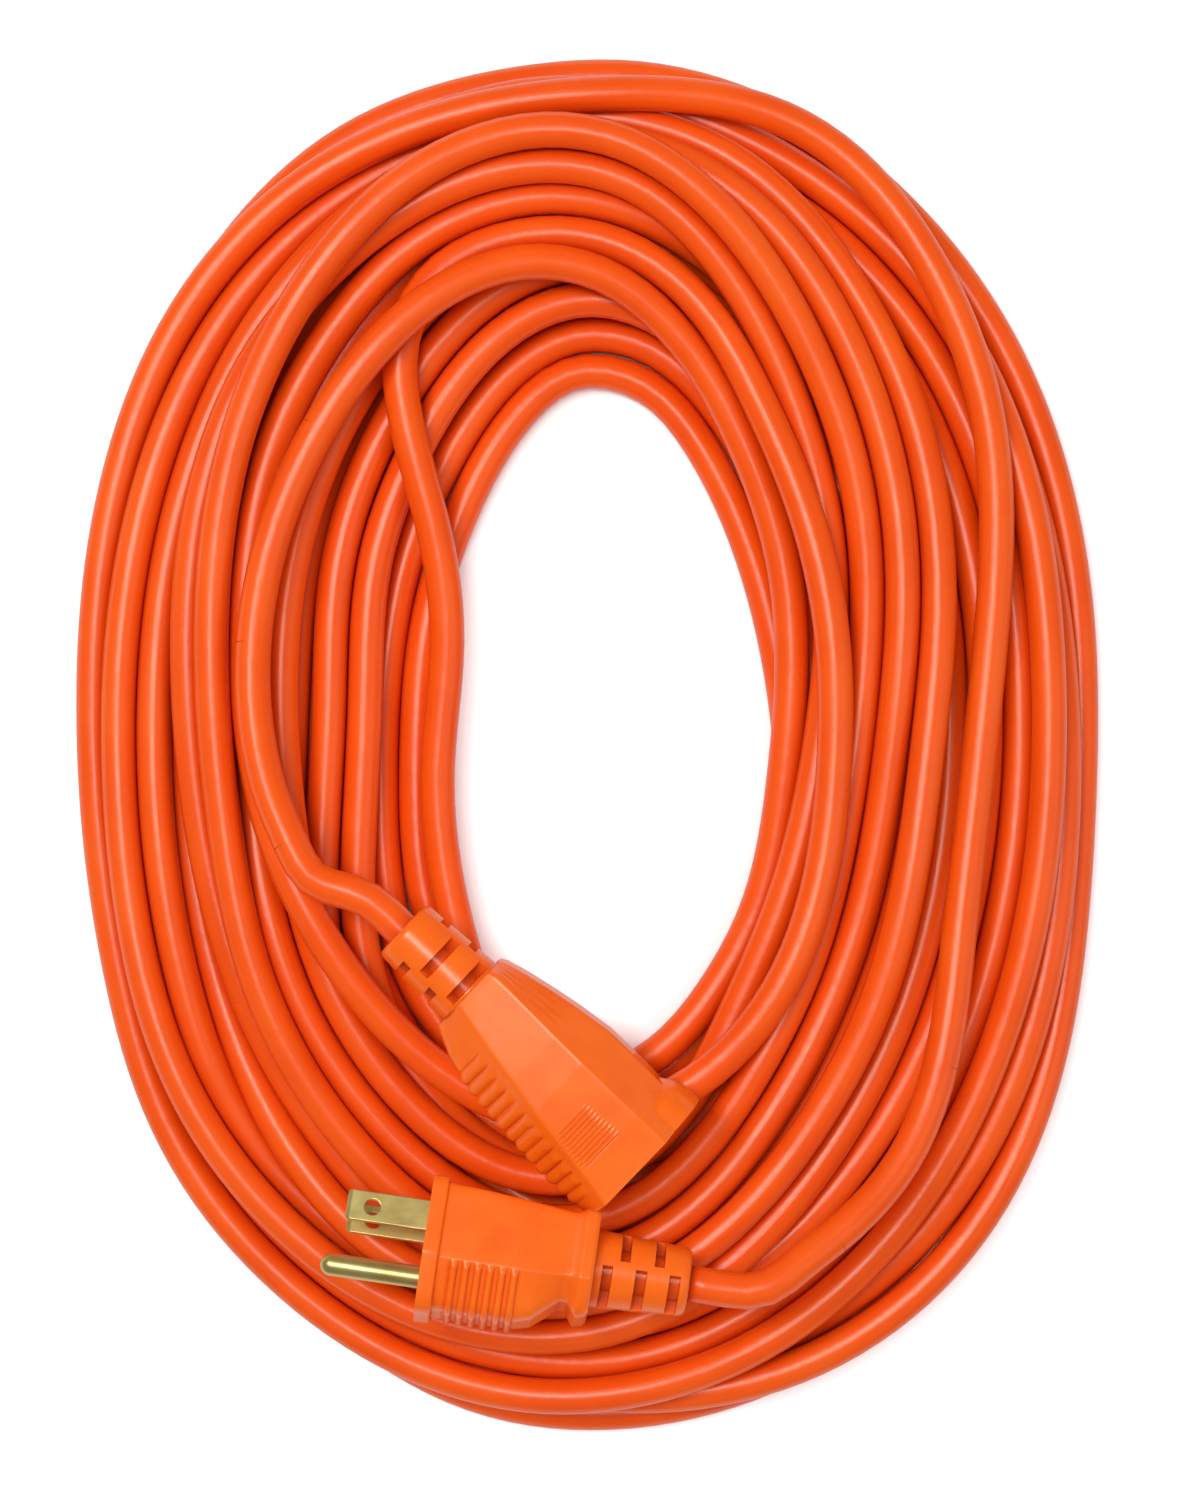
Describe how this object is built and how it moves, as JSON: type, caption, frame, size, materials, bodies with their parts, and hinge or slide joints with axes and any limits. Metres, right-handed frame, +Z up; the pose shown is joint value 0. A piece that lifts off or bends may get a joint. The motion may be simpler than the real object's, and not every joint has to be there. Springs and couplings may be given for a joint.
{
  "type": "extension cord",
  "caption": "Orange outdoor extension cord in a flat oval hank, with a moulded three-pin plug and a moulded cord connector lying on the turns.",
  "frame": {"origin": "middle of the underside of the whole box, on the floor", "axes": "+Z up from the floor the hank lies on, +Y along the long side of the hank away from the plug, +X across it to the side where the cord leaves the plug"},
  "size_m": [0.228, 0.3072, 0.0546],
  "materials": {
    "cord_vinyl": "satin, deep orange",
    "moulded_vinyl": "satin, lighter orange",
    "brass": "polished",
    "copper": "bare stranded copper",
    "black_insulation": "satin",
    "white_insulation": "satin",
    "green_insulation": "satin"
  },
  "bodies": {
    "hank": {"cord_jacket": "cord_vinyl"},
    "plug_tail_outer": {"plug_tail_outer_jacket": "cord_vinyl"},
    "plug_tail_inner": {"plug_tail_inner_jacket": "cord_vinyl"},
    "plug_end": {"plug_body": "moulded_vinyl", "plug_end_jacket": "cord_vinyl", "plug_ground_copper": "copper", "plug_ground_insulation": "green_insulation", "plug_ground_pin": "brass", "plug_hot_blade": "brass", "plug_hot_copper": "copper", "plug_hot_insulation": "black_insulation", "plug_insert": "moulded_vinyl", "plug_neutral_blade": "brass", "plug_neutral_copper": "copper", "plug_neutral_insulation": "white_insulation"},
    "connector_tail_outer": {"connector_tail_outer_jacket": "cord_vinyl"},
    "connector_tail_inner": {"connector_tail_inner_jacket": "cord_vinyl"},
    "connector_end": {"connector_body": "moulded_vinyl", "connector_end_jacket": "cord_vinyl", "connector_ground_contact": "brass", "connector_ground_copper": "copper", "connector_ground_insulation": "green_insulation", "connector_hot_contact": "brass", "connector_hot_copper": "copper", "connector_hot_insulation": "black_insulation", "connector_insert": "moulded_vinyl", "connector_neutral_contact": "brass", "connector_neutral_copper": "copper", "connector_neutral_insulation": "white_insulation", "connector_rear_cover": "moulded_vinyl"}
  },
  "joints": [
    {"name": "plug_lift", "type": "hinge", "parent": "hank", "child": "plug_tail_outer", "pos_m": [0.07973, -0.04922, 0.0241], "axis": [0.1461, 0.9893, 0], "range_deg": [0, 32]},
    {"name": "plug_swing", "type": "hinge", "parent": "plug_tail_outer", "child": "plug_tail_inner", "pos_m": [0.06659, -0.09116, 0.03129], "axis": [-0.0267, 0.1557, 0.9874], "range_deg": [0, 10]},
    {"name": "plug_tilt", "type": "hinge", "parent": "plug_tail_inner", "child": "plug_end", "pos_m": [0.03188, -0.11606, 0.04043], "axis": [0.1461, 0.9893, 0], "range_deg": [0, 32]},
    {"name": "connector_lift", "type": "hinge", "parent": "hank", "child": "connector_tail_outer", "pos_m": [-0.0694, 0.04252, 0.02801], "axis": [-0.6869, -0.7268, 0], "range_deg": [0, 32]},
    {"name": "connector_swing", "type": "hinge", "parent": "connector_tail_outer", "child": "connector_tail_inner", "pos_m": [-0.07085, -0.00174, 0.03326], "axis": [-0.1151, -0.1082, 0.9874], "range_deg": [0, 14]},
    {"name": "connector_tilt", "type": "hinge", "parent": "connector_tail_inner", "child": "connector_end", "pos_m": [-0.04545, -0.0339, 0.04142], "axis": [-0.6869, -0.7268, 0], "range_deg": [0, 32]}
  ],
  "couplings": [
    {"joint": "plug_tilt", "follows": "plug_lift", "ratio": 1},
    {"joint": "connector_tilt", "follows": "connector_lift", "ratio": 1}
  ]
}
